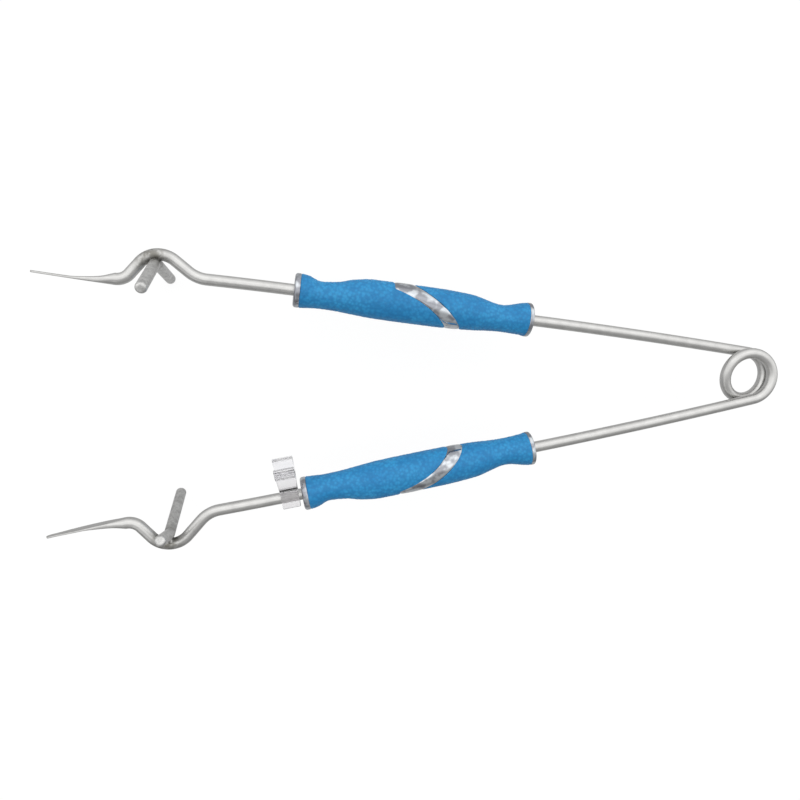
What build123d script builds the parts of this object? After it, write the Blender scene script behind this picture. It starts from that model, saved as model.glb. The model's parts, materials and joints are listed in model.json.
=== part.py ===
"""Self-retaining cheek retractor: a spring tong of one round wire with two soft-sleeved handles.

The origin is the centre of the spring coil, +Z is the coil's axis and the tips point towards -X. The upper
arm opens towards +Y and lies half an arm step below the XY plane; the lower arm opens towards -Y and lies
half an arm step above it. Each piece is drawn in the arm's own frame, where x runs towards the tip, y points
outwards and z points away from the other arm's plane. The arms are the same but for their humps, which are
bent by hand. All sizes are in millimetres.
"""

from build123d import *
from math import cos, radians, sin
import os

os.makedirs("parts", exist_ok=True)

# Wire and spring coil
wire_d = 3.0
wire_r = wire_d / 2
coil_r = 6.65  # centre of the wire
arm_step = 4.0  # between the planes of the two arms
coil_points = 40  # points that the coil's curve passes through

# Lie of an arm, as angles from the X axis: it bows gently outwards in the middle
angle_coil = 10.3
angle_handle = 8.3
angle_front = 7.2
rear_rod = 67.4  # coil to rear collar
front_rod = 21.6  # front collar to hump

# Hump that hooks over the corner of the mouth: three bends with a straight leg on each side of the top one
bend_in_r = 8.0
bend_top_r = 6.0
bend_out_r = 4.0

# Each arm's hump: turn in, leg, turn over the top, leg, turn out
upper_hump = (34.9, 4.1, -87.9, 3.9, 55.9)
lower_hump = (40.3, 5.3, -97.5, 3.8, 60.7)

# Blade: the wire's end pressed flat, its inner face flush with the wire
blade_length = 19.2
blade_thickness = 0.55
tip_width = 1.8
blade_edge = 0.2

# Stations where the wire thins into the blade: distance from the blade's root, thickness, width, edge radius
blade_stations = [
    (3.4, 1.7, 3.2, 0.6),
    (6.4, 1.1, 3.2, 0.4),
    (11.0, blade_thickness, 3.0, blade_edge),
]
tip_angles = (0, 30, 50, 65)  # where the rounded tip has its stations
round_play = 0.001  # keeps the round end of the blade a rounded square, so that it lofts to the flat one

# Lip pins: two round pins meet at a mitre under the hump and are welded to it
pin_r = 1.4
pin_length = 19.9
pin_end_round = 0.8

# Foot of each arm's hand-welded V from the top of its hump: towards the tip, inwards
upper_foot = (0.5, 1.9)
lower_foot = (0.1, 2.75)

# Lean of each pin in degrees: inwards, and round from there towards the handle; the top pin, then the bottom pin
upper_leans = ((17.0, -6.0), (13.0, 3.0))
lower_leans = ((16.5, 11.0), (15.8, 7.0))

# Handle: a metal core tube over the wire, with end collars and a curved land between two soft sleeves
core_r = 2.3
front_collar = 1.5
front_collar_r = 4.4
front_collar_round = 0.7
rear_collar = 1.1
rear_collar_r = 4.6
rear_collar_round = 0.35
core_seat = 0.5  # how far the core tube enters each collar
sleeve_span = 61.0
handle_length = sleeve_span + front_collar + rear_collar

# Stations along the sleeves from the front: distance, outward half width, inward half width, half height
sleeve_stations = [
    (0.0, 4.4, 4.4, 4.4),
    (1.8, 4.15, 4.25, 4.25),
    (5.2, 3.05, 4.0, 3.9),
    (9.5, 3.5, 4.1, 3.95),
    (14.0, 4.7, 4.45, 4.4),
    (19.0, 5.3, 4.8, 4.8),
    (27.0, 5.3, 4.95, 4.95),
    (36.0, 5.25, 5.0, 5.0),
    (45.0, 4.8, 4.75, 4.75),
    (54.0, 3.1, 4.15, 3.9),
    (59.5, 4.3, 4.3, 4.4),
    (61.0, 4.6, 4.6, 4.6),
]

# Curved land: a length of ring about a centre in the handle's plane, from the outer side to the inner side
land_centre = (17.0, -25.0)
land_r = 31.2
land_width = 3.2
land_start = 24.0  # from the front of the sleeves

# Parking clip: a ring that turns on the lower rod and a jaw that takes the upper rod when the arms are closed
clip_length = 4.6
clip_gap = 0.6  # jaw to front collar
clip_clearance = 0.05
clip_wall = 1.55
jaw_reach = 10.25  # ring centre to jaw centre
jaw_r = 1.65
jaw_wall = 1.0
jaw_prong = 2.1  # how far the prongs run past the jaw centre
jaw_length = 5.2
lip_r = 0.3
neck_width = 2.2
clip_lean = 30.0  # how far the jaw leans out of the arms' plane at rest

upper_plane = Plane(origin=(0, 0, -arm_step / 2), x_dir=(-1, 0, 0), z_dir=(0, 0, -1))
lower_plane = Plane(origin=(0, 0, arm_step / 2), x_dir=(-1, 0, 0), z_dir=(0, 0, 1))


def heading(angle):
    """Unit vector in an arm's plane, angle degrees from its x axis towards its y axis."""
    return Vector(cos(radians(angle)), sin(radians(angle)))


def bow(start, angle_from, angle_to, length):
    """Slightly bent stretch of rod that turns evenly from one angle to the other."""
    turn = angle_to - angle_from
    return JernArc(start, heading(angle_from), length / abs(radians(turn)), turn)


def bend(line, radius, turn):
    """Bend that carries on from the end of a line."""
    return JernArc(line @ 1, line % 1, radius, turn)


def straight(line, length):
    """Straight stretch that carries on from the end of a line."""
    return Line(line @ 1, (line @ 1) + (line % 1) * length)


# Centre line of an arm from the coil to its hump, drawn in the arm's own plane
with BuildLine() as rod_line:
    rear_line = bow(heading(angle_coil + 90) * coil_r, angle_coil, angle_handle, rear_rod)
    handle_line = straight(rear_line, handle_length)
    front_line = bow(handle_line @ 1, angle_handle, angle_front, front_rod)

front_of_sleeves = (handle_line @ 1) - heading(angle_handle) * front_collar

# Handle in its arm's plane: origin at the front of the sleeves, x back along the rod, y outwards
handle_plane = Plane(origin=front_of_sleeves, x_dir=heading(angle_handle) * -1, z_dir=(0, 0, -1))


def arm_curves(hump):
    """Centre line of a whole arm, and the bends over the top of its hump and into its blade."""
    turn_in, leg_in, turn_top, leg_out, turn_out = hump
    with BuildLine() as line:
        add(rod_line.line)
        in_line = bend(front_line, bend_in_r, turn_in)
        in_leg = straight(in_line, leg_in)
        top_line = bend(in_leg, bend_top_r, turn_top)
        out_leg = straight(top_line, leg_out)
        out_line = bend(out_leg, bend_out_r, turn_out)
    return line.wire(), top_line, out_line


def arm_rod(hump):
    """One arm of the wire: rod, hump and flat blade."""
    path, _, out_line = arm_curves(hump)
    blade_way = out_line % 1
    blade_root = Plane(origin=out_line @ 1, x_dir=(-blade_way.Y, blade_way.X, 0), z_dir=blade_way)
    with BuildPart() as rod:
        with BuildSketch(Plane(origin=rear_line @ 0, z_dir=rear_line % 0)):
            Circle(wire_r)
        sweep(path=path)
        with BuildSketch(blade_root):
            RectangleRounded(wire_d, wire_d, wire_r - round_play)
        for along, thickness, width, edge in blade_stations + tip_stations():
            with BuildSketch(blade_root.offset(along)):
                with Locations((thickness / 2 - wire_r, 0)):
                    RectangleRounded(thickness, width, edge)
        loft(ruled=True)
    return rod.part


def tip_stations():
    """Stations of the blade's rounded tip, in the same order as the blade's own."""
    radius = tip_width / 2
    stations = []
    for angle in tip_angles:
        along = blade_length - radius + radius * sin(radians(angle))
        width = tip_width * cos(radians(angle))
        stations.append((along, blade_thickness, width, blade_edge))
    return stations


def lip_pin(rod, hump, foot, lean, side):
    """Round pin that leans inwards from under the hump, towards +z for side 1 and towards -z for side -1."""
    _, top_line, _ = arm_curves(hump)
    ahead, depth = foot
    inwards, back = lean
    forward = top_line % 0.5
    inward = Vector(forward.Y, -forward.X)
    root = (top_line @ 0.5) + forward * ahead + inward * depth
    lean_way = inward * cos(radians(back)) - forward * sin(radians(back))
    direction = lean_way * sin(radians(inwards)) + Vector(0, 0, side * cos(radians(inwards)))
    with BuildPart() as pin:
        with BuildSketch(Plane(origin=root - direction * pin_r, z_dir=direction)):
            Circle(pin_r)
        extrude(amount=pin_length + pin_r)
        far_end = pin.faces().sort_by(Axis.Z)[-1 if side > 0 else 0]
        fillet(far_end.edges(), pin_end_round)
        split(bisect_by=Plane.XY, keep=Keep.TOP if side > 0 else Keep.BOTTOM)
        add(rod, mode=Mode.SUBTRACT)
    return pin.part


def sleeve_body():
    """Whole shaped grip in the handle's frame, before the land divides it."""
    with BuildPart() as body:
        for along, outward, inward, half_height in sleeve_stations:
            with BuildSketch(Plane.YZ.offset(along)):
                with Locations(((outward - inward) / 2, 0)):
                    Ellipse((outward + inward) / 2, half_height)
        loft()
    return body.part


def land_ring():
    """Curved wall that crosses the grip, in the handle's frame."""
    reach = land_r + land_width
    with BuildPart() as ring:
        with BuildSketch():
            with Locations(land_centre):
                Circle(land_r + land_width / 2)
                Circle(land_r - land_width / 2, mode=Mode.SUBTRACT)
            with Locations((land_start, 0)):
                Rectangle(reach, reach, align=(Align.MIN, Align.CENTER), mode=Mode.INTERSECT)
        extrude(amount=land_r / 2, both=True)
    return ring.part


def core_tube(radius):
    """Round bar on the handle's axis that reaches into both collars."""
    with BuildPart() as tube:
        with BuildSketch(Plane.YZ.offset(-core_seat)):
            Circle(radius)
        extrude(amount=sleeve_span + 2 * core_seat)
    return tube.part


def handle_core():
    """Metal tube over the wire, with the curved land that stands flush with the sleeves."""
    with BuildPart() as core:
        add(sleeve_body())
        add(land_ring(), mode=Mode.INTERSECT)
        add(core_tube(core_r))
        add(core_tube(wire_r), mode=Mode.SUBTRACT)
    return core.part


def soft_sleeves():
    """The two soft sleeves, front one first."""
    with BuildPart() as sleeves:
        add(sleeve_body())
        add(land_ring(), mode=Mode.SUBTRACT)
        add(core_tube(core_r), mode=Mode.SUBTRACT)
    return sleeves.part.solids().sort_by(Axis.X)


def end_collar(thickness, radius, rounding):
    """Collar pressed on the end of the core, its inner face at the origin and its outer face towards -X."""
    with BuildPart() as collar:
        with BuildSketch(Plane.YZ):
            Circle(radius)
        extrude(amount=-thickness)
        fillet(collar.faces().sort_by(Axis.X)[0].edges(), rounding)
        with BuildSketch(Plane.YZ):
            Circle(core_r)
        extrude(amount=-core_seat, mode=Mode.SUBTRACT)
        with BuildSketch(Plane.YZ):
            Circle(wire_r)
        extrude(amount=-thickness, mode=Mode.SUBTRACT)
    return collar.part


def spring_coil():
    """One and a half turns of wire that step down from the lower arm's plane to the upper arm's plane."""
    start = angle_coil - 90
    sweep_angle = 540 - 2 * angle_coil
    points = []
    for index in range(coil_points + 1):
        share = index / coil_points
        angle = radians(start + sweep_angle * share)
        eased = share**3 * (10 - 15 * share + 6 * share**2)
        points.append((coil_r * cos(angle), coil_r * sin(angle), arm_step * (0.5 - eased)))
    lower_way = (cos(radians(angle_coil)), sin(radians(angle_coil)), 0)
    upper_way = (-cos(radians(angle_coil)), sin(radians(angle_coil)), 0)
    with BuildPart() as coil:
        with BuildLine() as turns:
            Spline(*points, tangents=(lower_way, upper_way))
        with BuildSketch(Plane(origin=points[0], z_dir=lower_way)):
            Circle(wire_r)
        sweep(path=turns.wire())
    return coil.part


def parking_clip():
    """Ring, neck and open jaw, drawn across the rod: x points from the ring to the jaw, z along the rod."""
    jaw_outer = jaw_r + jaw_wall
    with BuildPart() as clip:
        with BuildSketch():
            Circle(wire_r + clip_clearance + clip_wall)
            Rectangle(jaw_reach, neck_width, align=(Align.MIN, Align.CENTER))
        extrude(amount=clip_length / 2, both=True)
        with BuildSketch():
            with Locations((jaw_reach, 0)):
                Circle(jaw_outer)
                Rectangle(jaw_prong, 2 * jaw_outer, align=(Align.MIN, Align.CENTER))
        extrude(amount=jaw_length / 2, both=True)
        with BuildSketch():
            Circle(wire_r + clip_clearance)
            with Locations((jaw_reach, 0)):
                Circle(jaw_r)
                Rectangle(2 * jaw_outer, 2 * jaw_r, align=(Align.MIN, Align.CENTER))
        extrude(amount=jaw_length, both=True, mode=Mode.SUBTRACT)
        with BuildSketch():
            with Locations((jaw_reach + jaw_prong - lip_r, jaw_r), (jaw_reach + jaw_prong - lip_r, -jaw_r)):
                Circle(lip_r)
        extrude(amount=jaw_length / 2, both=True)
    return clip.part


def clip_plane():
    """Where the clip sits: on the front rod beside the collar, its jaw turned in and leaning out by clip_lean."""
    share = (clip_gap + jaw_length / 2) / front_rod
    along = front_line % share
    inward = Vector(along.Y, -along.X)
    jaw_way = inward * cos(radians(clip_lean)) + Vector(0, 0, sin(radians(clip_lean)))
    return Plane(origin=front_line @ share, x_dir=jaw_way, z_dir=along)


def save(name, shape):
    """Give a finished piece its name and write it."""
    shape.label = name
    export_step(shape, f"parts/{name}.step")


front_sleeve, rear_sleeve = soft_sleeves()
handle_place = handle_plane.location
rear_collar_place = handle_place * Location((sleeve_span, 0, 0), (0, 0, 180))
front_ring = end_collar(front_collar, front_collar_r, front_collar_round)
rear_ring = end_collar(rear_collar, rear_collar_r, rear_collar_round)
handle_pieces = {
    "handle_core": handle_core().moved(handle_place),
    "front_sleeve": front_sleeve.moved(handle_place),
    "rear_sleeve": rear_sleeve.moved(handle_place),
    "front_collar": front_ring.moved(handle_place),
    "rear_collar": rear_ring.moved(rear_collar_place),
}
save("coil_spring", spring_coil())
arms = (
    ("upper", upper_plane, upper_hump, upper_foot, upper_leans),
    ("lower", lower_plane, lower_hump, lower_foot, lower_leans),
)
for side_name, arm, hump, foot, leans in arms:
    rod = arm_rod(hump)
    save(f"{side_name}_arm_rod", rod.moved(arm.location))
    for piece_name, piece in handle_pieces.items():
        save(f"{side_name}_{piece_name}", piece.moved(arm.location))
    up = 1 if arm.z_dir.Z > 0 else -1
    save(f"{side_name}_top_pin", lip_pin(rod, hump, foot, leans[0], up).moved(arm.location))
    save(f"{side_name}_bottom_pin", lip_pin(rod, hump, foot, leans[1], -up).moved(arm.location))
save("parking_clip", parking_clip().moved(lower_plane.location * clip_plane().location))
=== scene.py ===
"""Looks of the cheek retractor: its wire, handles, pins and clip as finished meshes round the CAD frame."""

import json
import math

import bmesh
import bpy
import numpy as np
from mathutils import Matrix, Vector, noise


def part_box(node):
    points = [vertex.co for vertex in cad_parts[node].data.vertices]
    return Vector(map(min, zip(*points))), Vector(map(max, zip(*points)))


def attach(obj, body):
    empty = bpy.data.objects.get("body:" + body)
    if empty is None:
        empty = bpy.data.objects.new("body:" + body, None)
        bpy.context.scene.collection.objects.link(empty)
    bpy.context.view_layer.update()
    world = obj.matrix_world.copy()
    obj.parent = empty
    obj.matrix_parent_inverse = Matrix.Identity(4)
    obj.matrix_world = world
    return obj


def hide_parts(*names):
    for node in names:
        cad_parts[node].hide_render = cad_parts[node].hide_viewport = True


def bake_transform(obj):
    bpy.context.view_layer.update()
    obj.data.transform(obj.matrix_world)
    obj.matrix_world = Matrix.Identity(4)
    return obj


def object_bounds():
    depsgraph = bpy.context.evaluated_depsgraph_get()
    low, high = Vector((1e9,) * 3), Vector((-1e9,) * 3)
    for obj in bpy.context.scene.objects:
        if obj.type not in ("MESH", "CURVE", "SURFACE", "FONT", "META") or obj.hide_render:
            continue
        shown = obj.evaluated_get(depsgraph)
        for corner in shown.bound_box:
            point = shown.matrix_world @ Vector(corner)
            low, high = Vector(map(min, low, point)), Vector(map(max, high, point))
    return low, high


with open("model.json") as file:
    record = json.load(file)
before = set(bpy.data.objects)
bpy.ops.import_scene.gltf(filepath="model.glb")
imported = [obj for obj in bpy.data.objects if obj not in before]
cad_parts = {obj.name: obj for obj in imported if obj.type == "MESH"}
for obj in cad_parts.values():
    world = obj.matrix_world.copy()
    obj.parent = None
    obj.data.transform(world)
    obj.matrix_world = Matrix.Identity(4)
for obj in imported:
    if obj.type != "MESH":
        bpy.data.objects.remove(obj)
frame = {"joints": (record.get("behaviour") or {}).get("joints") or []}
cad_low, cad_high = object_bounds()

MM = 0.001

# Wire, with the coil's size and the arms' heights from the CAD boxes
WIRE_R = 1.5 * MM
rod_low, rod_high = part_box("upper_arm_rod")
coil_low, coil_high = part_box("coil_spring")
ARM_STEP = -(rod_high[2] + rod_low[2])
COIL_R = (coil_high[1] - coil_low[1]) / 2 - WIRE_R

# Hinge of the clip, along the lower rod
hinge = next(joint for joint in frame["joints"] if joint["name"] == "clip_swing")

# Lie of an arm from the coil to the blade's tip, angles in degrees
ANGLE_COIL = 10.3
ANGLE_HANDLE = 8.3
ANGLE_FRONT = 7.2
COIL_SWEEP = 540 - 2 * ANGLE_COIL
REAR_ROD = 67.4 * MM
HANDLE_LENGTH = 63.6 * MM
FRONT_ROD = 21.6 * MM
BEND_IN_R = 8.0 * MM
BEND_TOP_R = 6.0 * MM
BEND_OUT_R = 4.0 * MM
BLADE_LENGTH = 19.2 * MM
# turn in, leg, turn over the top, leg, turn out
HUMPS = {1: (34.9, 4.1 * MM, -87.9, 3.9 * MM, 55.9), -1: (40.3, 5.3 * MM, -97.5, 3.8 * MM, 60.7)}
WIRE_STEP = 0.35 * MM
WIRE_SIDES = 40

# Blade: distance from its root, thickness, width
BLADE = np.array([
    (0.0, 3.0, 3.0),
    (3.4, 1.7, 3.1),
    (6.4, 1.1, 3.1),
    (11.0, 0.55, 3.0),
    (18.3, 0.5, 1.8),
    (19.2, 0.5, 1.8),
]) * MM
TIP_WIDTH = 1.8 * MM

# Lip pins
PIN_R = 1.4 * MM
PIN_LENGTH = 19.9 * MM
PIN_ROUND = 0.8 * MM
# foot of each arm's V from the top of its hump: towards the tip, inwards
PIN_FEET = {1: (0.5 * MM, 1.9 * MM), -1: (0.1 * MM, 2.75 * MM)}
# lean of the top pin and of the bottom pin in degrees: inwards, and round from there towards the handle
PIN_LEANS = {1: ((17.0, -6.0), (13.0, 3.0)), -1: ((16.5, 11.0), (15.8, 7.0))}

# Handle
CORE_R = 2.3 * MM
FRONT_COLLAR_R = 4.4 * MM
REAR_COLLAR_R = 4.6 * MM
FRONT_COLLAR = 1.5 * MM
REAR_COLLAR = 1.1 * MM
FRONT_ROUND = 0.7 * MM
REAR_ROUND = 0.35 * MM
SPAN = 61.0 * MM
CORE_SEAT = 0.5 * MM
# distance from the front, outward half width, inward half width, half height
STATIONS = np.array([
    (0.0, 4.4, 4.4, 4.4),
    (1.8, 4.15, 4.25, 4.25),
    (5.2, 3.05, 4.0, 3.9),
    (9.5, 3.5, 4.1, 3.95),
    (14.0, 4.7, 4.45, 4.4),
    (19.0, 5.3, 4.8, 4.8),
    (27.0, 5.3, 4.95, 4.95),
    (36.0, 5.25, 5.0, 5.0),
    (45.0, 4.8, 4.75, 4.75),
    (54.0, 3.1, 4.15, 3.9),
    (59.5, 4.3, 4.3, 4.4),
    (61.0, 4.6, 4.6, 4.6),
]) * MM
# the land is an arc across the grip that starts square at its front
LAND_CENTRE = np.array((17.0, -25.0)) * MM
LAND_START = 24.0 * MM
LAND_R = 31.2 * MM
LAND_WIDTH = 3.2 * MM
GRIP_SIDES = 144
FRONT_SKIN_ROWS = 125
REAR_SKIN_ROWS = 90
GRAIN_SIZE = 0.85 * MM
GRAIN_HEIGHT = 0.07 * MM
EDGE_ROLL = 0.45 * MM
EDGE_SINK = 0.35 * EDGE_ROLL

# Clip
CLIP_LENGTH = 4.6 * MM
CLIP_RING = 3.1 * MM
CLIP_BORE = 1.55 * MM
JAW_REACH = 10.25 * MM
JAW_R = 1.65 * MM
JAW_OUTER = 2.65 * MM
JAW_PRONG = 2.1 * MM
JAW_LENGTH = 5.2 * MM
LIP_R = 0.3 * MM
NECK_HALF = 1.1 * MM
CLIP_LEAN = math.radians(30.0)
CLIP_EDGE = 0.18 * MM
PRONG_ROUND = 0.35 * MM

# Camera: where it stands, what it looks at, and which way is up in the picture
LENS = 31.5
CAMERA_EYE = Vector((-130.53, 32.37, 181.24)) * MM
CAMERA_AIM = Vector((-101.44, -2.84, 0)) * MM
CAMERA_UP = Vector((0.0121, 1, 0))

# Lamps: name, place, what they shine at, size, power
LAMPS = (
    ("key", (-0.05, 0.45, 0.55), (-0.05, 0, 0), (1.2, 0.30), 0.32),
    ("overhead", (-0.1, 0.02, 0.75), (-0.1, 0, 0), (0.6, 0.3), 0.10),
    ("fill", (-0.45, -0.35, 0.35), (-0.1, 0, 0), (0.3, 0.3), 0.12),
)


# ---------------------------------------------------------------- places

def heading(angle):
    """Unit vector in an arm's plane for an angle in radians."""
    return np.array((math.cos(angle), math.sin(angle)))


def stretches(side):
    """Stretches of an arm's centre line, each with its length and its turn in degrees."""
    turn_in, leg_in, turn_top, leg_out, turn_out = HUMPS[side]
    return {
        "rear": (REAR_ROD, ANGLE_HANDLE - ANGLE_COIL),
        "handle": (HANDLE_LENGTH, 0.0),
        "front": (FRONT_ROD, ANGLE_FRONT - ANGLE_HANDLE),
        "hump_in": (BEND_IN_R * math.radians(turn_in), turn_in),
        "leg_in": (leg_in, 0.0),
        "hump_top": (BEND_TOP_R * math.radians(-turn_top), turn_top),
        "leg_out": (leg_out, 0.0),
        "hump_out": (BEND_OUT_R * math.radians(turn_out), turn_out),
        "blade": (BLADE_LENGTH, 0.0),
    }


def centre_line(side):
    """Points and angles of an arm's centre line in its own plane, and where each stretch starts and ends."""
    angle = math.radians(ANGLE_COIL)
    point = COIL_R * heading(angle + math.pi / 2)
    points, angles, marks = [point], [angle], {}
    for name, (length, turn) in stretches(side).items():
        start = len(points) - 1
        count = max(2, round(length / WIRE_STEP))
        step_turn = math.radians(turn) / count
        for _ in range(count):
            half = step_turn / 2
            chord = length / count * (math.sin(half) / half if half else 1.0)
            point = point + chord * heading(angle + half)
            angle += step_turn
            points.append(point)
            angles.append(angle)
        marks[name] = (start, len(points) - 1)
    return np.array(points), np.array(angles), marks


LINES = {side: centre_line(side) for side in (1, -1)}


def arm_to_world(points, side):
    """From an arm's own frame to the row frame; side is 1 for the upper arm and -1 for the lower arm."""
    points = np.asarray(points, float)
    out = np.empty_like(points)
    out[..., 0] = -points[..., 0]
    out[..., 1] = side * points[..., 1]
    out[..., 2] = -side * (ARM_STEP / 2 + points[..., 2])
    return out


def handle_to_world(points, side):
    """From the handle's frame (x back from the front of the sleeves, y outwards) to the row frame."""
    points = np.asarray(points, float)
    along = heading(math.radians(ANGLE_HANDLE))
    outward = np.array((-along[1], along[0]))
    line, _angles, marks = LINES[side]
    front = line[marks["handle"][1]] - along * FRONT_COLLAR
    flat = front - points[..., :1] * along + points[..., 1:2] * outward
    return arm_to_world(np.concatenate([flat, -points[..., 2:]], axis=-1), side)


# ---------------------------------------------------------------- mesh helpers

def finish_mesh(name, verts, faces, sharp=35):
    """Closed, smooth-shaded mesh object with sharp edges where faces meet steeply."""
    mesh = bpy.data.meshes.new(name)
    mesh.from_pydata([tuple(v) for v in verts], [], faces)
    work = bmesh.new()
    work.from_mesh(mesh)
    bmesh.ops.recalc_face_normals(work, faces=work.faces)
    work.to_mesh(mesh)
    work.free()
    mesh.shade_smooth()
    mesh.set_sharp_from_angle(angle=math.radians(sharp))
    piece = bpy.data.objects.new(name, mesh)
    bpy.context.scene.collection.objects.link(piece)
    return piece


def grid_faces(rows, columns, close_rows):
    """Quads over a grid that is closed round its columns, and round its rows if close_rows."""
    faces = []
    for row in range(rows if close_rows else rows - 1):
        after = (row + 1) % rows
        for column in range(columns):
            beside = (column + 1) % columns
            faces.append((row * columns + column, row * columns + beside,
                          after * columns + beside, after * columns + column))
    return faces


def tube(name, rings, sharp=35):
    """Closed mesh through rings of points, capped at both ends."""
    rows, columns = rings.shape[:2]
    faces = grid_faces(rows, columns, False)
    faces.append(tuple(range(columns)))
    faces.append(tuple(range((rows - 1) * columns, rows * columns)))
    return finish_mesh(name, rings.reshape(-1, 3), faces, sharp)


def round_loop(name, rings, sharp=35):
    """Closed mesh through rings that come back to the first one, as round a bore."""
    rows, columns = rings.shape[:2]
    return finish_mesh(name, rings.reshape(-1, 3), grid_faces(rows, columns, True), sharp)


def add_uv(piece, along, columns):
    """UV map on a tube: u along it in units of its girth, v once round."""
    mesh = piece.data
    layer = mesh.uv_layers.new(name="along")
    girth = 2 * math.pi * WIRE_R
    loops = np.empty(len(mesh.loops), int)
    mesh.loops.foreach_get("vertex_index", loops)
    u = np.repeat(along / girth, columns)[loops]
    v = (np.tile(np.arange(columns) / columns, len(along)))[loops]
    starts = np.empty(len(mesh.polygons), int)
    totals = np.empty(len(mesh.polygons), int)
    mesh.polygons.foreach_get("loop_start", starts)
    mesh.polygons.foreach_get("loop_total", totals)
    for start, total in zip(starts, totals):
        part = v[start:start + total]
        if total == 4 and part.max() - part.min() > 0.5:
            v[start:start + total] = np.where(part < 0.5, part + 1, part)
    layer.data.foreach_set("uv", np.column_stack([u, v]).ravel())


def superellipse(phi, power):
    """Unit outline whose corners fill out as power rises from 2, the circle."""
    c, s = np.cos(phi), np.sin(phi)
    return np.sign(c) * np.abs(c) ** (2 / power), np.sign(s) * np.abs(s) ** (2 / power)


def smooth(t):
    """Smooth step from 0 to 1."""
    t = np.clip(t, 0, 1)
    return t * t * (3 - 2 * t)


def through(stations, along):
    """Values smoothly through stations whose first column is the distance along, without overshoot."""
    x = stations[:, 0]
    values = stations[:, 1:]
    rise = np.diff(values, axis=0) / np.diff(x)[:, None]
    slope = np.zeros_like(values)
    same = rise[1:] * rise[:-1] > 0
    both = rise[1:] + rise[:-1]
    slope[1:-1] = np.where(same, 2 * rise[1:] * rise[:-1] / np.where(same, both, 1), 0)
    slope[0], slope[-1] = rise[0], rise[-1]
    along = np.clip(np.asarray(along, float), x[0], x[-1])
    index = np.clip(np.searchsorted(x, along, side="right") - 1, 0, len(x) - 2)
    gap = x[index + 1] - x[index]
    t = ((along - x[index]) / gap)[..., None]
    gap = gap[..., None]
    first, last = values[index], values[index + 1]
    return (first * (1 + 2 * t) * (1 - t) ** 2 + slope[index] * gap * t * (1 - t) ** 2
            + last * t * t * (3 - 2 * t) + slope[index + 1] * gap * t * t * (t - 1))


def dress(piece, body, material, slot, *nodes):
    """Give a piece its body, its material and the CAD nodes it stands for; the slot is not used."""
    piece.data.materials.append(material)
    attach(piece, body)
    if nodes:
        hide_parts(*nodes)
    return piece


# ---------------------------------------------------------------- materials

class Nodes:
    """A node tree and short ways to add nodes to it."""

    def __init__(self, tree):
        self.nodes = tree.nodes
        self.links = tree.links
        self.coords = self.nodes.new("ShaderNodeTexCoord")

    def feed(self, socket, value):
        """Give an input another node's output, or a plain value."""
        if isinstance(value, bpy.types.NodeSocket):
            self.links.new(value, socket)
        else:
            socket.default_value = value

    def noise(self, scale, detail=4.0, rough=0.55, source=None, stretch=None):
        source = source or self.coords.outputs["Object"]
        if stretch:
            mapping = self.nodes.new("ShaderNodeMapping")
            mapping.inputs["Scale"].default_value = stretch
            self.feed(mapping.inputs["Vector"], source)
            source = mapping.outputs["Vector"]
        node = self.nodes.new("ShaderNodeTexNoise")
        for name, value in (("Scale", scale), ("Detail", detail), ("Roughness", rough), ("Vector", source)):
            self.feed(node.inputs[name], value)
        return node.outputs["Fac"]

    def cells(self, scale):
        node = self.nodes.new("ShaderNodeTexVoronoi")
        node.inputs["Scale"].default_value = scale
        self.feed(node.inputs["Vector"], self.coords.outputs["Object"])
        return node.outputs["Distance"]

    def distance(self, point):
        node = self.nodes.new("ShaderNodeVectorMath")
        node.operation = "DISTANCE"
        node.inputs[1].default_value = tuple(point)
        self.feed(node.inputs[0], self.coords.outputs["Object"])
        return node.outputs["Value"]

    def axis(self, name, kind):
        """One coordinate: X, Y or Z, of the Object's point or of the world's Generated direction."""
        node = self.nodes.new("ShaderNodeSeparateXYZ")
        self.feed(node.inputs["Vector"], self.coords.outputs[kind])
        return node.outputs[name]

    def remap(self, source, low, high, to_low=0.0, to_high=1.0):
        node = self.nodes.new("ShaderNodeMapRange")
        node.interpolation_type = "SMOOTHSTEP"
        ends = {"From Min": low, "From Max": high, "To Min": to_low, "To Max": to_high, "Value": source}
        for name, value in ends.items():
            self.feed(node.inputs[name], value)
        return node.outputs["Result"]

    def math(self, kind, first, second):
        node = self.nodes.new("ShaderNodeMath")
        node.operation = kind
        self.feed(node.inputs[0], first)
        self.feed(node.inputs[1], second)
        return node.outputs["Value"]

    def blend(self, factor, first, second):
        """Mix two colours, each a tuple or another node's output."""
        node = self.nodes.new("ShaderNodeMix")
        node.data_type = "RGBA"
        self.feed(node.inputs["Factor"], factor)
        for socket, value in zip((node.inputs[6], node.inputs[7]), (first, second)):
            self.feed(socket, (*value, 1.0) if isinstance(value, tuple) else value)
        return node.outputs[2]

    def emission(self, strength):
        node = self.nodes.new("ShaderNodeEmission")
        self.feed(node.inputs["Strength"], strength)
        return node.outputs["Emission"]

    def mix_shader(self, factor, first, second):
        node = self.nodes.new("ShaderNodeMixShader")
        for socket, value in zip(node.inputs, (factor, first, second)):
            self.feed(socket, value)
        return node.outputs["Shader"]

    def looked_at(self):
        """One for rays from the eye, straight or through clear plastic, and zero for all others."""
        path = self.nodes.new("ShaderNodeLightPath")
        return self.math("MAXIMUM", path.outputs["Is Camera Ray"], path.outputs["Is Transmission Ray"])


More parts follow.
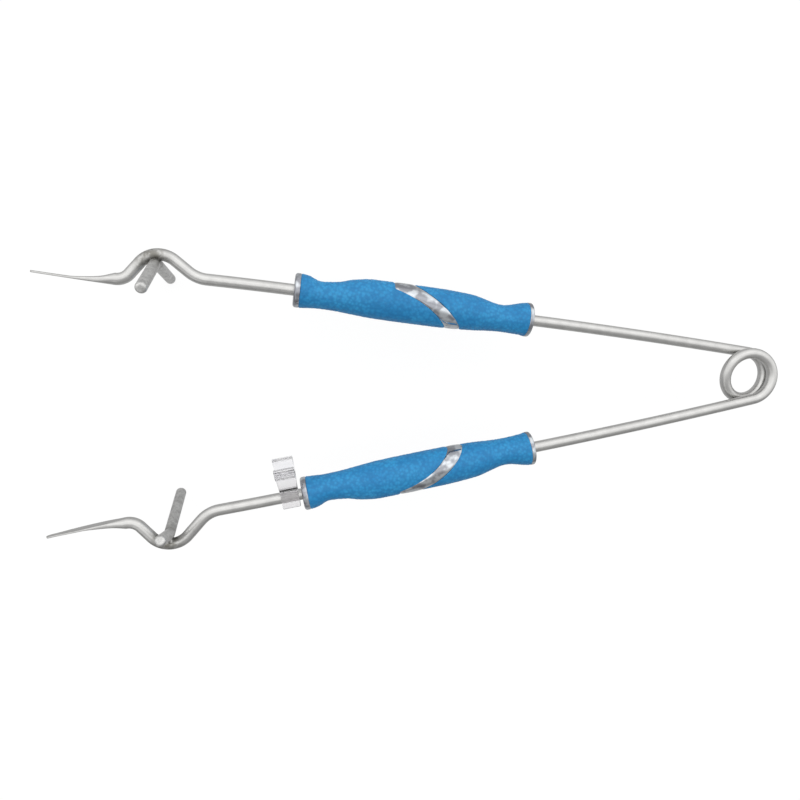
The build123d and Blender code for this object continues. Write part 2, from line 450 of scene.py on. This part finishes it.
class Shader(Nodes):
    """A principled material."""

    def __init__(self, name):
        self.material = bpy.data.materials.new(name)
        self.material.use_nodes = True
        super().__init__(self.material.node_tree)
        self.bsdf = self.nodes["Principled BSDF"]

    def set(self, **values):
        """Feed the principled shader's inputs, with underscores for the spaces in their names."""
        for name, value in values.items():
            self.feed(self.bsdf.inputs[name.replace("_", " ")], value)

    def bump(self, height, strength, distance):
        node = self.nodes.new("ShaderNodeBump")
        for name, value in (("Strength", strength), ("Distance", distance), ("Height", height)):
            self.feed(node.inputs[name], value)
        self.set(Normal=node.outputs["Normal"])


def satin_steel(name, welds):
    """Drawn stainless wire: soft sheen, faint lines along it, and grey and brown scale round each weld."""
    s = Shader(name)
    colour = s.blend(s.remap(s.noise(420, 3), 0.3, 0.7), (0.60, 0.598, 0.588), (0.54, 0.538, 0.53))
    rough = s.remap(s.noise(1500, 5), 0.25, 0.75, 0.27, 0.36)
    for point in welds:
        near = s.remap(s.distance(point), 1.8 * MM, 5.4 * MM, 1.0, 0.0)
        uneven = s.math("MULTIPLY", near, s.remap(s.noise(800, 3), 0.34, 0.62, 0.25, 1.0))
        colour = s.blend(uneven, colour, (0.21, 0.205, 0.185))
        core = s.remap(s.distance(point), 0.8 * MM, 2.4 * MM, 0.75, 0.0)
        colour = s.blend(core, colour, (0.13, 0.125, 0.115))
        rough = s.math("ADD", rough, s.math("MULTIPLY", uneven, 0.16))
    s.set(Base_Color=colour, Roughness=rough, Metallic=1.0)
    lines = s.noise(1.0, 3, source=s.coords.outputs["UV"], stretch=(1.2, 46, 1))
    fine = s.math("MULTIPLY", s.noise(7000, 2), 0.3)
    s.bump(s.math("ADD", s.math("MULTIPLY", lines, 0.7), fine), 0.22, 0.012 * MM)
    return s.material


def blasted_steel(name, welds):
    """Fine-blasted pin steel: matt and mottled, darker where the weld's heat reached it."""
    s = Shader(name)
    coarse = s.math("MULTIPLY", s.noise(750, 4, 0.65), 0.6)
    mottle = s.math("ADD", coarse, s.math("MULTIPLY", s.noise(2600, 3), 0.4))
    colour = s.blend(s.remap(mottle, 0.36, 0.62), (0.44, 0.44, 0.435), (0.66, 0.66, 0.65))
    for point in welds:
        near = s.remap(s.distance(point), 1.2 * MM, 5.0 * MM, 0.85, 0.0)
        uneven = s.math("MULTIPLY", near, s.remap(s.noise(850, 3), 0.3, 0.6, 0.2, 1.0))
        colour = s.blend(uneven, colour, (0.19, 0.185, 0.175))
    s.set(Base_Color=colour, Roughness=s.remap(s.noise(1900, 4), 0.3, 0.7, 0.34, 0.50), Metallic=1.0)
    s.bump(s.noise(4200, 4), 0.45, 0.02 * MM)
    return s.material


def polished_steel(name):
    """Bright turned steel with cloudy patches and hairline wear, its colour tinted blue as a painted
    reflection of the blue sleeves.
    """
    s = Shader(name)
    # painted reflection: both colours are tinted blue for the blue sleeves mirrored in the steel
    colour = s.blend(s.remap(s.noise(330, 2), 0.40, 0.60), (0.61, 0.645, 0.68), (0.30, 0.31, 0.34))
    s.set(Base_Color=colour, Roughness=s.remap(s.noise(1800, 5), 0.3, 0.75, 0.08, 0.20), Metallic=1.0)
    s.bump(s.noise(900, 4, stretch=(1, 9, 9)), 0.25, 0.01 * MM)
    return s.material


def blue_silicone(name):
    """Moulded blue silicone: fine grain, lighter on the tops of the pebbles and darker between them as
    painted light and shade, slightly translucent.
    """
    s = Shader(name)
    base = s.blend(s.remap(s.noise(170, 3), 0.32, 0.68), (0.014, 0.225, 0.50), (0.026, 0.285, 0.58))
    # painted light and shade: darker towards the edges of the cells, between the pebbles, and lighter on
    # their tops
    pebbles = s.math("ADD", s.cells(1 / GRAIN_SIZE), s.remap(s.noise(620, 3), 0.3, 0.7, -0.16, 0.16))
    colour = s.blend(s.remap(pebbles, 0.1, 0.8, 0.0, 0.62), base, (0.008, 0.150, 0.37))
    s.set(Base_Color=colour, Roughness=s.remap(s.noise(1400, 4), 0.3, 0.7, 0.40, 0.58))
    s.set(Subsurface_Weight=0.06, Subsurface_Scale=0.8 * MM, Subsurface_Radius=(0.2, 0.5, 1.0))
    s.set(Specular_IOR_Level=0.35)
    s.bump(s.math("ADD", s.noise(5200, 3), s.math("MULTIPLY", s.cells(3600), 0.7)), 0.35, 0.03 * MM)
    return s.material


def clear_plastic(name, ring):
    """Clear moulded plastic with faint flow lines: hazier round its ring, and darker where it is seen edge on
    as painted shade.
    """
    s = Shader(name)
    body = s.blend(s.remap(s.noise(500, 2), 0.3, 0.7), (0.95, 0.95, 0.96), (0.86, 0.86, 0.885))
    haze = s.remap(s.distance(ring), 6.0 * MM, 8.8 * MM, 0.9, 0.0)
    body = s.blend(haze, body, (0.80, 0.79, 0.80))
    # painted shade: the colour turns dark grey where the surface is seen edge on
    facing = s.nodes.new("ShaderNodeLayerWeight").outputs["Facing"]
    colour = s.blend(s.remap(facing, 0.55, 0.95, 0.0, 0.8), body, (0.40, 0.40, 0.44))
    s.set(Base_Color=colour, Roughness=s.remap(s.noise(1200, 4), 0.3, 0.7, 0.05, 0.18))
    s.set(IOR=1.49, Transmission_Weight=1.0)
    s.bump(s.noise(600, 3), 0.2, 0.03 * MM)
    return s.material


# ---------------------------------------------------------------- wire

def wire_rings(side):
    """Rings of one arm in its own frame: round rod, then the end pressed flat into the blade."""
    line, angles, marks = LINES[side]
    phi = np.arange(WIRE_SIDES) / WIRE_SIDES * 2 * math.pi
    first = marks["blade"][0]
    steps = len(line) - 1 - first
    rings = []
    for index, (point, angle) in enumerate(zip(line, angles)):
        outward = np.array((-math.sin(angle), math.cos(angle)))
        along = max(0, index - first) / steps * BLADE_LENGTH
        thick, width = through(BLADE, along)
        press = smooth(along / BLADE[2][0])
        from_tip = BLADE_LENGTH - along
        radius = TIP_WIDTH / 2
        if from_tip < radius:
            width *= max(0.16, math.sqrt(max(0, 1 - (1 - from_tip / radius) ** 2)))
        x, y = superellipse(phi, 2 + 2.2 * press)
        shift = thick / 2 - WIRE_R
        flat = point + np.outer(shift + x * thick / 2, outward)
        rings.append(np.column_stack([flat, y * width / 2]))
    return np.array(rings)


def coil_rings():
    """Rings of the coil in the row frame from the lower arm's end, and each ring's share of the way."""
    start = math.radians(ANGLE_COIL - 90)
    sweep = math.radians(COIL_SWEEP)
    phi = np.arange(WIRE_SIDES) / WIRE_SIDES * 2 * math.pi
    share = np.linspace(0, 1, 300)
    rings = []
    for t in share:
        angle = start + sweep * t
        height = ARM_STEP * (0.5 - t ** 3 * (10 - 15 * t + 6 * t * t))
        slope = -ARM_STEP * 30 * t * t * (1 - t) ** 2 / sweep
        radial = np.array((math.cos(angle), math.sin(angle), 0))
        way = np.array((-math.sin(angle) * COIL_R, math.cos(angle) * COIL_R, slope))
        way /= np.linalg.norm(way)
        upright = np.cross(radial, way)
        centre = radial * COIL_R + np.array((0, 0, height))
        rings.append(centre + WIRE_R * (np.outer(np.cos(phi), radial) + np.outer(np.sin(phi), upright)))
    return np.array(rings), share


def make_wire(material):
    """Both arms, and the coil that winds up between them."""
    for side, body in ((1, "upper_arm"), (-1, "lower_arm")):
        line = LINES[side][0]
        along = np.concatenate([[0], np.cumsum(np.linalg.norm(np.diff(line, axis=0), axis=1))])
        rod = tube(f"{body}_wire", arm_to_world(wire_rings(side), side))
        add_uv(rod, along, WIRE_SIDES)
        dress(rod, body, material, "steel_wire", f"{body}_rod")
    turns, share = coil_rings()
    coil = tube("coil_wire", turns)
    add_uv(coil, share * math.radians(COIL_SWEEP) * COIL_R, WIRE_SIDES)
    coil.data.materials.append(material)
    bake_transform(coil)
    # the turns overlap in height, so each ring takes its share from its place along the wire
    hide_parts("coil_spring")


# ---------------------------------------------------------------- pins

def hump_top(side):
    """Middle of the hump's centre line, and the ways inward and forward there, in the arm's plane."""
    line, angles, marks = LINES[side]
    start, end = marks["hump_top"]
    place = (start + end) / 2
    low, high = math.floor(place), math.ceil(place)
    angle = (angles[low] + angles[high]) / 2
    inward = np.array((math.sin(angle), -math.cos(angle)))
    return (line[low] + line[high]) / 2, inward, np.array((-inward[1], inward[0]))


def pin_rings(side, up):
    """Rings of one pin in the arm's frame: mitred on the arm's plane, straight, with a rounded end."""
    top, inward, forward = hump_top(side)
    ahead, depth = PIN_FEET[side]
    lean, back = np.radians(PIN_LEANS[side][0 if up else 1])
    # the upper arm's own frame points down
    way = -side if up else side
    root = np.append(top + inward * depth + forward * ahead, 0)
    lean_way = inward * math.cos(back) - forward * math.sin(back)
    axis = np.append(lean_way * math.sin(lean), way * math.cos(lean))
    across = np.append((-lean_way[1], lean_way[0]), 0)
    third = np.cross(axis, across)
    phi = np.arange(WIRE_SIDES) / WIRE_SIDES * 2 * math.pi
    rim = np.outer(np.cos(phi), across) + np.outer(np.sin(phi), third)
    mitre = -rim[:, 2:] * PIN_R / axis[2]
    rings = [root + rim * PIN_R + mitre * axis]
    for share in np.linspace(0.12, 1, 30):
        along = (PIN_LENGTH - PIN_ROUND) * share
        rings.append(root + rim * PIN_R + along * axis + mitre * axis * (1 - share) ** 6)
    for turn in np.linspace(0.15, 1, 8) * math.pi / 2:
        radius = PIN_R - PIN_ROUND + PIN_ROUND * math.cos(turn)
        along = PIN_LENGTH - PIN_ROUND + PIN_ROUND * math.sin(turn)
        rings.append(root + rim * radius + along * axis)
    rings.append(root + rim * PIN_R * 0.2 + (PIN_LENGTH + 0.04 * MM) * axis)
    return np.array(rings)


def weld_rings(side):
    """Rings of the small weld between the hump and the foot of the V, rippled where the bead ran."""
    top, inward, forward = hump_top(side)
    ahead, foot = PIN_FEET[side]
    top = top + forward * ahead
    phi = np.arange(WIRE_SIDES) / WIRE_SIDES * 2 * math.pi
    start, end = WIRE_R * 0.5, foot + PIN_R * 0.1
    rings = []
    for share in np.linspace(0, 1, 16):
        depth = start + (end - start) * share
        waist = 1.42 - 0.42 * math.sin(math.pi * share)
        ripple = 1 + 0.035 * np.sin(5 * phi + 9 * share) + 0.02 * np.sin(11 * phi - 14 * share)
        radius = waist * MM * ripple
        flat = top + inward * depth + np.outer(radius * np.cos(phi), forward)
        rings.append(np.column_stack([flat, radius * 1.25 * np.sin(phi)]))
    return np.array(rings)


def make_pins(blasted, satin):
    """Both V's of round pins, and the weld that holds each one under its hump."""
    for side, arm in ((1, "upper"), (-1, "lower")):
        for end in ("top", "bottom"):
            rings = arm_to_world(pin_rings(side, end == "top"), side)
            node = f"{arm}_{end}_pin"
            dress(tube(f"{node}_bar", rings, 50), f"{arm}_arm", blasted, "steel_wire", node)
        weld = tube(f"{arm}_weld", arm_to_world(weld_rings(side), side), 60)
        dress(weld, f"{arm}_arm", satin, "steel_wire")


def weld_places():
    """Middle of the heat scale on each arm, in the row frame."""
    places = []
    for side in (1, -1):
        top, inward, forward = hump_top(side)
        weld = top + inward * WIRE_R + forward * (PIN_FEET[side][0] + 0.6 * MM)
        places.append(arm_to_world(np.append(weld, 0), side))
    return places


# ---------------------------------------------------------------- handles

def section(along):
    """Outward half width, inward half width and half height of the grip."""
    return through(STATIONS, along)


def grip_point(along, phi, shrink=0.0, inner=None):
    """Point on the grip's skin, sunk by shrink; inner is a share of the way to the core."""
    outward, inward, height = np.moveaxis(section(along), -1, 0)
    middle, half = (outward - inward) / 2, (outward + inward) / 2
    y = middle + (half - shrink) * np.cos(phi)
    z = (height - shrink) * np.sin(phi)
    if inner is not None:
        y = y + (CORE_R * np.cos(phi) - y) * inner
        z = z + (CORE_R * np.sin(phi) - z) * inner
    return y, z


def land_edge(radius, phi, inner=None):
    """Distance along the grip at which a wall of the land meets it, for each angle round the grip."""
    along = np.full_like(phi, LAND_START + LAND_R / 2)
    for _ in range(16):
        y, _z = grip_point(along, phi, inner=inner)
        along = LAND_CENTRE[0] + np.sqrt(np.maximum(0, radius ** 2 - (y - LAND_CENTRE[1]) ** 2))
    return np.maximum(along, LAND_START)


def skin(start, end, phi, rows):
    """Outer skin between two edges, with rolled edges, from start(phi) to end(phi)."""
    rings = []
    for share in rows:
        along = start + (end - start) * share
        edge = np.minimum(along - start, end - along)
        roll = EDGE_SINK * (1 - smooth(edge / EDGE_ROLL)) ** 2
        y, z = grip_point(along, phi, roll)
        rings.append(np.column_stack([along, y, z]))
    return rings


def edge_rows(count):
    """Shares from 0 to 1 that crowd a little at both ends."""
    t = np.linspace(0, 1, count)
    return t - 0.06 * np.sin(2 * math.pi * t)


def grain(rings, shift):
    """Raise the pebble grain on skin rings, fading out at the edges; shift moves the grain's pattern."""
    rows = len(rings)
    out = []
    for row, ring in enumerate(rings):
        fade = min(1.0, row / 4, (rows - 1 - row) / 4)
        moved = ring.copy()
        for column, point in enumerate(ring):
            distances, _points = noise.voronoi(Vector(point + shift) / GRAIN_SIZE)
            pebble = min(1.0, (distances[1] - distances[0]) * 2.2)
            height = GRAIN_HEIGHT * (pebble - 0.6) * fade
            radial = point[1:]
            moved[column, 1:] += radial / np.linalg.norm(radial) * height
        out.append(moved)
    return out


def bore(start, end, radius, phi, count):
    """Rings of a bore or a bar from start to end, each a distance or one distance per angle."""
    rings = []
    for share in np.linspace(0, 1, count):
        along = start + (end - start) * share
        along = np.broadcast_to(along, phi.shape)
        rings.append(np.column_stack([along, radius * np.cos(phi), radius * np.sin(phi)]))
    return rings


def wall(radius, phi, shares):
    """Rings down the land's curved wall, from the skin (share 0) to the core (share 1)."""
    rings = []
    for share in shares:
        along = land_edge(radius, phi, inner=share)
        y, z = grip_point(along, phi, inner=share)
        rings.append(np.column_stack([along, y, z]))
    return rings


def flat_end(along, phi, shares):
    """Rings across a square end of the grip, from the core (share 1) to the skin (share 0)."""
    rings = []
    for share in shares:
        y, z = grip_point(np.full_like(phi, along), phi, EDGE_SINK, inner=share)
        rings.append(np.column_stack([np.full_like(phi, along), y, z]))
    return rings


def core_rings(phi):
    """Core tube with the land: along the bar, over the crowned land, along the bar, and back by the bore."""
    front_r, rear_r = LAND_R - LAND_WIDTH / 2, LAND_R + LAND_WIDTH / 2
    start, end = land_edge(front_r, phi), land_edge(rear_r, phi)
    top = []
    for share in np.linspace(0, 1, 15):
        along = start + (end - start) * share
        bevel = 0.16 * MM * (1 - smooth(min(share, 1 - share) / 0.14)) ** 2
        crown = 0.10 * MM * math.sin(math.pi * share)
        y, z = grip_point(along, phi, 0.05 * MM + bevel - crown)
        top.append(np.column_stack([along, y, z]))
    front_foot, rear_foot = land_edge(front_r, phi, 1.0), land_edge(rear_r, phi, 1.0)
    tips = np.zeros_like(phi) - CORE_SEAT, np.zeros_like(phi) + SPAN + CORE_SEAT
    return np.array(bore(tips[0], front_foot, CORE_R, phi, 12)
                    + wall(front_r, phi, (0.66, 0.33, 0.1)) + top + wall(rear_r, phi, (0.1, 0.33, 0.66))
                    + bore(rear_foot, tips[1], CORE_R, phi, 12)
                    + bore(tips[1], tips[0], WIRE_R + 0.01 * MM, phi, 24))


def collar_rings(base, reach, radius, rim):
    """Turned collar: inner face on the sleeve, rounded rim, dished outer face and the wire's bore."""
    phi = np.arange(96) / 96 * 2 * math.pi
    thick, way = abs(reach), math.copysign(1, reach)
    profile = [(CORE_R, CORE_SEAT), (CORE_R, 0.0), (radius - 0.12 * MM, 0.0), (radius, 0.12 * MM)]
    for turn in np.linspace(0, math.pi / 2, 7):
        profile.append((radius - rim + rim * math.cos(turn), thick - rim + rim * math.sin(turn)))
    dish, hole = 0.14 * MM, WIRE_R + 0.01 * MM
    profile += [(radius - rim - 0.2 * MM, thick), (radius - rim - 0.45 * MM, thick - dish)]
    profile += [(WIRE_R + 0.5 * MM, thick - dish), (WIRE_R + 0.35 * MM, thick)]
    profile += [(WIRE_R + 0.12 * MM, thick), (hole, thick - 0.1 * MM), (hole, CORE_SEAT)]
    return np.array([
        np.column_stack([np.full_like(phi, base + way * along), out * np.cos(phi), out * np.sin(phi)])
        for out, along in profile
    ])


def make_handles(silicone, polished):
    """Both handles: sleeves, core with its land, and collars."""
    phi = np.arange(GRIP_SIDES) / GRIP_SIDES * 2 * math.pi
    fine = phi[::2]
    front_r, rear_r = LAND_R - LAND_WIDTH / 2, LAND_R + LAND_WIDTH / 2
    front_edge, rear_edge = land_edge(front_r, phi), land_edge(rear_r, phi)
    walls = np.linspace(0.1, 1, 5)
    nothing = np.zeros_like(phi)
    for side, arm in ((1, "upper"), (-1, "lower")):
        body = f"{arm}_arm"
        shift = np.array((0.0, side * 31 * MM, 0.0))
        front = (flat_end(0, phi, walls[::-1])
                 + grain(skin(nothing, front_edge, phi, edge_rows(FRONT_SKIN_ROWS)), shift)
                 + wall(front_r, phi, walls)
                 + bore(land_edge(front_r, phi, 1.0), nothing, CORE_R, phi, 8)[1:-1])
        rear = (wall(rear_r, phi, walls[::-1])
                + grain(skin(rear_edge, nothing + SPAN, phi, edge_rows(REAR_SKIN_ROWS)), shift)
                + flat_end(SPAN, phi, walls)
                + bore(nothing + SPAN, land_edge(rear_r, phi, 1.0), CORE_R, phi, 8)[1:-1])
        for name, rings in (("front_sleeve", front), ("rear_sleeve", rear)):
            piece = round_loop(f"{arm}_{name}_grip", handle_to_world(np.array(rings), side), 50)
            dress(piece, body, silicone, "blue_silicone", f"{arm}_{name}")
        core = round_loop(f"{arm}_handle_core_band", handle_to_world(core_rings(fine), side), 40)
        dress(core, body, polished, "polished_steel", f"{arm}_handle_core")
        for name, *sizes in (("front_collar", 0.0, -FRONT_COLLAR, FRONT_COLLAR_R, FRONT_ROUND),
                             ("rear_collar", SPAN, REAR_COLLAR, REAR_COLLAR_R, REAR_ROUND)):
            rings = handle_to_world(collar_rings(*sizes), side)
            piece = round_loop(f"{arm}_{name}_ring", rings, 35)
            dress(piece, body, polished, "polished_steel", f"{arm}_{name}")


# ---------------------------------------------------------------- clip

def arc(centre, radius, start, end, count):
    """Points on an arc, angles in degrees, both ends included."""
    turn = np.radians(np.linspace(start, end, count))
    return [(centre[0] + radius * math.cos(t), centre[1] + radius * math.sin(t)) for t in turn]


def clip_outline():
    """Outer outline of the clip across the rod: ring, neck, jaw and its two prongs with snap lips."""
    jaw = (JAW_REACH, 0.0)
    tip = JAW_REACH + JAW_PRONG
    lip = tip - LIP_R
    foot = math.degrees(math.asin(NECK_HALF / CLIP_RING))
    neck = math.degrees(math.asin(NECK_HALF / JAW_OUTER))
    outline = arc((0, 0), CLIP_RING, foot, 360 - foot, 60)
    outline += arc(jaw, JAW_OUTER, 180 + neck, 270, 14)
    outline += arc((tip - PRONG_ROUND, -JAW_OUTER + PRONG_ROUND), PRONG_ROUND, 270, 360, 6)
    outline += arc((lip, -JAW_R), LIP_R, 0, 180, 12)
    outline += arc(jaw, JAW_R, 270, 90, 28)
    outline += arc((lip, JAW_R), LIP_R, 180, 360, 12)
    outline += arc((tip - PRONG_ROUND, JAW_OUTER - PRONG_ROUND), PRONG_ROUND, 0, 90, 6)
    outline += arc(jaw, JAW_OUTER, 90, 180 - neck, 14)
    return outline


def clip_mesh():
    """Clip pressed from its outline with rounded edges: x to the jaw, z along the rod."""
    curve = bpy.data.curves.new("clip_outline", "CURVE")
    curve.dimensions = "2D"
    curve.fill_mode = "BOTH"
    curve.extrude = CLIP_LENGTH / 2 - CLIP_EDGE
    curve.bevel_depth = CLIP_EDGE
    curve.bevel_resolution = 3
    curve.offset = -CLIP_EDGE
    for points in (clip_outline(), arc((0, 0), CLIP_BORE, 0, 354, 60)):
        spline = curve.splines.new("POLY")
        spline.points.add(len(points) - 1)
        for target, (x, y) in zip(spline.points, points):
            target.co = (x, y, 0, 1)
        spline.use_cyclic_u = True
    shape = bpy.data.objects.new("clip_shape", curve)
    bpy.context.scene.collection.objects.link(shape)
    bpy.context.view_layer.update()
    mesh = bpy.data.meshes.new_from_object(shape)
    bpy.data.objects.remove(shape)
    return mesh


def clip_place():
    """From the clip's own frame to its place on the lower rod, leaning up from the plane of the arms."""
    rod_way = Vector(hinge["axis"])
    inward = rod_way.cross(Vector((0, 0, 1)))
    jaw_way = inward * math.cos(CLIP_LEAN) + Vector((0, 0, 1)) * math.sin(CLIP_LEAN)
    place = Matrix((jaw_way, rod_way.cross(jaw_way), rod_way)).transposed().to_4x4()
    place.translation = Vector(hinge["pos_m"])
    return place


def make_clip(material):
    """The clip, its jaw a little wider along the rod than its ring."""
    mesh, place = clip_mesh(), clip_place()
    work = bmesh.new()
    work.from_mesh(mesh)
    bmesh.ops.remove_doubles(work, verts=work.verts, dist=0.004 * MM)
    bmesh.ops.recalc_face_normals(work, faces=work.faces)
    for vert in work.verts:
        widen = float(smooth((vert.co.x - CLIP_RING) / (JAW_REACH - JAW_OUTER - CLIP_RING)))
        vert.co.z *= 1 + (JAW_LENGTH / CLIP_LENGTH - 1) * widen
        vert.co = place @ vert.co
    work.to_mesh(mesh)
    work.free()
    mesh.shade_smooth()
    mesh.set_sharp_from_angle(angle=math.radians(40))
    piece = bpy.data.objects.new("parking_clip_moulding", mesh)
    bpy.context.scene.collection.objects.link(piece)
    dress(piece, "clip", material, "clear_plastic", "parking_clip")


# ---------------------------------------------------------------- stage

def make_floor():
    """Pale floor just under the object: near white to the eye, graded from side to side in what it lights."""
    reach, level = 3.0, cad_low[2] - 0.2 * MM
    mesh = bpy.data.meshes.new("floor")
    corners = [(-reach, -reach, level), (reach, -reach, level), (reach, reach, level), (-reach, reach, level)]
    mesh.from_pydata(corners, [], [(0, 1, 2, 3)])
    floor = bpy.data.objects.new("floor", mesh)
    bpy.context.scene.collection.objects.link(floor)
    s = Shader("pale_floor")
    s.set(Base_Color=s.blend(s.remap(s.noise(14, 3), 0.3, 0.7), (0.94, 0.94, 0.94), (0.92, 0.92, 0.925)))
    s.set(Roughness=0.9)
    seen = s.mix_shader(0.86, s.bsdf.outputs["BSDF"], s.emission(1.03))
    bounced = s.emission(s.remap(s.axis("Y", "Object"), -0.35, 0.35, 0.30, 0.85))
    surface = s.nodes["Material Output"].inputs["Surface"]
    s.feed(surface, s.mix_shader(s.looked_at(), bounced, seen))
    floor.data.materials.append(s.material)


def make_world():
    """Studio surround: lit overhead and on the far side, dim on the near side, and plain white to the eye."""
    world = bpy.data.worlds.new("studio")
    bpy.context.scene.world = world
    world.use_nodes = True
    n = Nodes(world.node_tree)
    overhead = n.remap(n.axis("Z", "Generated"), 0.0, 0.6, 0.30, 0.50)
    far_side = n.remap(n.axis("Y", "Generated"), -0.55, 0.12, 0.0, 0.82)
    strength = n.nodes.new("ShaderNodeMix")
    n.feed(strength.inputs[0], n.looked_at())
    n.feed(strength.inputs[2], n.math("ADD", overhead, far_side))
    n.feed(strength.inputs[3], 1.0)
    background = n.nodes["Background"]
    n.feed(background.inputs["Strength"], strength.outputs[0])
    n.feed(background.inputs["Color"], (1.0, 0.998, 0.994, 1))


def add_lamp(name, place, aim, size, power):
    light = bpy.data.lights.new(name, "AREA")
    light.shape = "RECTANGLE"
    light.size, light.size_y = size
    light.energy = power
    lamp = bpy.data.objects.new(name, light)
    lamp.location = place
    lamp.rotation_euler = (Vector(aim) - Vector(place)).to_track_quat("-Z", "Y").to_euler()
    bpy.context.scene.collection.objects.link(lamp)


def make_camera():
    """Close camera above the front of the tool, a little towards the upper arm."""
    camera = bpy.data.cameras.new("camera")
    camera.sensor_width = 36
    camera.lens = LENS
    camera.clip_start = 5 * MM
    camera.clip_end = 20
    back = (CAMERA_EYE - CAMERA_AIM).normalized()
    right = CAMERA_UP.cross(back).normalized()
    turn = Matrix((right, back.cross(right), back)).transposed().to_4x4()
    stand = bpy.data.objects.new("camera", camera)
    stand.matrix_world = Matrix.Translation(CAMERA_EYE) @ turn
    bpy.context.scene.collection.objects.link(stand)
    bpy.context.scene.camera = stand


weld_points = weld_places()
wire_steel = satin_steel("satin_wire_steel", weld_points)
make_wire(wire_steel)
make_pins(blasted_steel("blasted_pin_steel", weld_points), wire_steel)
make_handles(blue_silicone("blue_pebbled_silicone"), polished_steel("polished_steel"))
make_clip(clear_plastic("clear_clip_plastic", hinge["pos_m"]))
make_floor()
make_world()
for lamp_setting in LAMPS:
    add_lamp(*lamp_setting)
make_camera()
bpy.context.scene.view_settings.view_transform = "Standard"
